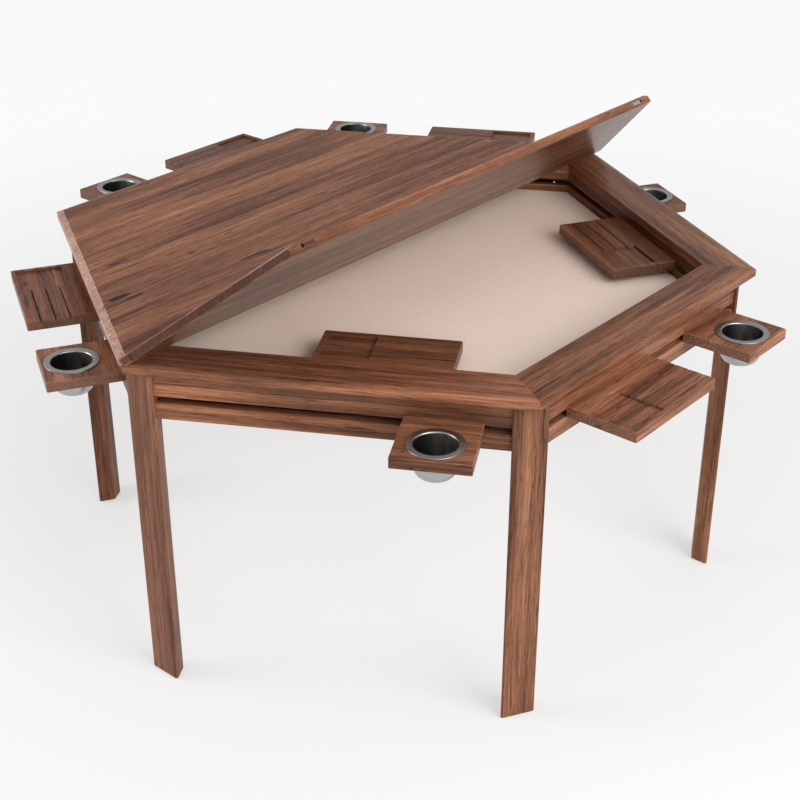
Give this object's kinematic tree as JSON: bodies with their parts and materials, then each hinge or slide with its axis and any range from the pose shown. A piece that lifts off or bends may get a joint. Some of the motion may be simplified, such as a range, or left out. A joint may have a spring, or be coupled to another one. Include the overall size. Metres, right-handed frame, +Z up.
{
  "type": "hexagonal game table",
  "caption": "Hexagonal walnut game table with a sunken felt play area, a folding two-leaf topper and slide-out cup and card trays.",
  "frame": {"origin": "on the floor under the middle of the table", "axes": "+Z up, +X along the front side of the hexagon, -Y out of the front side"},
  "size_m": [1.7228, 1.6932, 1.0149],
  "materials": {
    "walnut": "satin",
    "plain_wood": "matte",
    "felt": "matte",
    "cup_steel": "brushed",
    "plate_steel": "satin",
    "bolt_steel": "satin",
    "hinge_brass": "satin",
    "glide_plastic": "matte"
  },
  "bodies": {
    "frame": {"leg_front_left": "walnut", "leg_front_right": "walnut", "leg_right": "walnut", "leg_back_right": "walnut", "leg_back_left": "walnut", "leg_left": "walnut", "rim_board_front": "walnut", "rim_board_front_right": "walnut", "rim_board_back_right": "walnut", "rim_board_back": "walnut", "rim_board_back_left": "walnut", "rim_board_front_left": "walnut", "upper_apron_front": "walnut", "upper_apron_front_right": "walnut", "upper_apron_back_right": "walnut", "upper_apron_back": "walnut", "upper_apron_back_left": "walnut", "upper_apron_front_left": "walnut", "lower_rail_front": "walnut", "lower_rail_front_right": "walnut", "lower_rail_back_right": "walnut", "lower_rail_back": "walnut", "lower_rail_back_left": "walnut", "lower_rail_front_left": "walnut", "upper_liners": "walnut", "lower_liners": "walnut", "floor_bearers": "plain_wood", "cross_beams": "plain_wood", "play_board": "plain_wood", "play_felt": "felt", "corner_blocks": "plain_wood", "corner_bolts": "bolt_steel", "leg_glides": "glide_plastic"},
    "topper": {"main_leaf": "walnut", "hinge_fixed_plates": "hinge_brass", "hinge_pins": "hinge_brass"},
    "folding_leaf": {"folding_leaf": "walnut", "leaf_edge_plates": "plate_steel", "hinge_moving_plates": "hinge_brass"},
    "cup_tray_front": {"cup_tray_front": "walnut"},
    "cup_tray_front_right": {"cup_tray_front_right": "walnut"},
    "cup_tray_back_right": {"cup_tray_back_right": "walnut"},
    "cup_tray_back": {"cup_tray_back": "walnut"},
    "cup_tray_back_left": {"cup_tray_back_left": "walnut"},
    "cup_tray_front_left": {"cup_tray_front_left": "walnut"},
    "cup_front": {"cup_front": "cup_steel"},
    "cup_front_right": {"cup_front_right": "cup_steel"},
    "cup_back_right": {"cup_back_right": "cup_steel"},
    "cup_back": {"cup_back": "cup_steel"},
    "cup_back_left": {"cup_back_left": "cup_steel"},
    "cup_front_left": {"cup_front_left": "cup_steel"},
    "card_tray_front_right": {"card_tray_front_right": "walnut"},
    "card_tray_back": {"card_tray_back": "walnut"},
    "card_tray_back_left": {"card_tray_back_left": "walnut"},
    "card_tray_front_left": {"card_tray_front_left": "walnut"},
    "inner_card_tray_front": {"inner_card_tray_front": "walnut"},
    "inner_card_tray_back_right": {"inner_card_tray_back_right": "walnut"}
  },
  "joints": [
    {"name": "topper_lift", "type": "slide", "parent": "frame", "child": "topper", "axis": [0, 0, 1], "range_m": [0, 0.3]},
    {"name": "leaf_fold", "type": "hinge", "parent": "topper", "child": "folding_leaf", "pos_m": [0, 0, 0.78275], "axis": [-0.5, -0.866, 0], "range_deg": [-42, 138]},
    {"name": "cup_tray_front_pull", "type": "slide", "parent": "frame", "child": "cup_tray_front", "axis": [0, -1, 0], "range_m": [0, 0.06]},
    {"name": "cup_front_lift", "type": "slide", "parent": "cup_tray_front", "child": "cup_front", "axis": [0, 0, 1], "range_m": [0, 0.08]},
    {"name": "cup_tray_front_right_pull", "type": "slide", "parent": "frame", "child": "cup_tray_front_right", "axis": [0.866, -0.5, 0], "range_m": [0, 0.06]},
    {"name": "cup_front_right_lift", "type": "slide", "parent": "cup_tray_front_right", "child": "cup_front_right", "axis": [0, 0, 1], "range_m": [0, 0.08]},
    {"name": "card_tray_front_right_pull", "type": "slide", "parent": "frame", "child": "card_tray_front_right", "axis": [0.866, -0.5, 0], "range_m": [0, 0.06]},
    {"name": "cup_tray_back_right_pull", "type": "slide", "parent": "frame", "child": "cup_tray_back_right", "axis": [0.866, 0.5, 0], "range_m": [0, 0.06]},
    {"name": "cup_back_right_lift", "type": "slide", "parent": "cup_tray_back_right", "child": "cup_back_right", "axis": [0, 0, 1], "range_m": [0, 0.08]},
    {"name": "cup_tray_back_pull", "type": "slide", "parent": "frame", "child": "cup_tray_back", "axis": [0, 1, 0], "range_m": [-0.026, 0.034]},
    {"name": "cup_back_lift", "type": "slide", "parent": "cup_tray_back", "child": "cup_back", "axis": [0, 0, 1], "range_m": [0, 0.08]},
    {"name": "card_tray_back_pull", "type": "slide", "parent": "frame", "child": "card_tray_back", "axis": [0, 1, 0], "range_m": [-0.026, 0.034]},
    {"name": "cup_tray_back_left_pull", "type": "slide", "parent": "frame", "child": "cup_tray_back_left", "axis": [-0.866, 0.5, 0], "range_m": [0, 0.06]},
    {"name": "cup_back_left_lift", "type": "slide", "parent": "cup_tray_back_left", "child": "cup_back_left", "axis": [0, 0, 1], "range_m": [0, 0.08]},
    {"name": "card_tray_back_left_pull", "type": "slide", "parent": "frame", "child": "card_tray_back_left", "axis": [-0.866, 0.5, 0], "range_m": [0, 0.06]},
    {"name": "cup_tray_front_left_pull", "type": "slide", "parent": "frame", "child": "cup_tray_front_left", "axis": [-0.866, -0.5, 0], "range_m": [0, 0.06]},
    {"name": "cup_front_left_lift", "type": "slide", "parent": "cup_tray_front_left", "child": "cup_front_left", "axis": [0, 0, 1], "range_m": [0, 0.08]},
    {"name": "card_tray_front_left_pull", "type": "slide", "parent": "frame", "child": "card_tray_front_left", "axis": [-0.866, -0.5, 0], "range_m": [0, 0.06]},
    {"name": "inner_card_tray_front_pull", "type": "slide", "parent": "frame", "child": "inner_card_tray_front", "axis": [0, 1, 0], "range_m": [-0.042, 0.018]},
    {"name": "inner_card_tray_back_right_pull", "type": "slide", "parent": "frame", "child": "inner_card_tray_back_right", "axis": [-0.866, -0.5, 0], "range_m": [0, 0.06]}
  ]
}
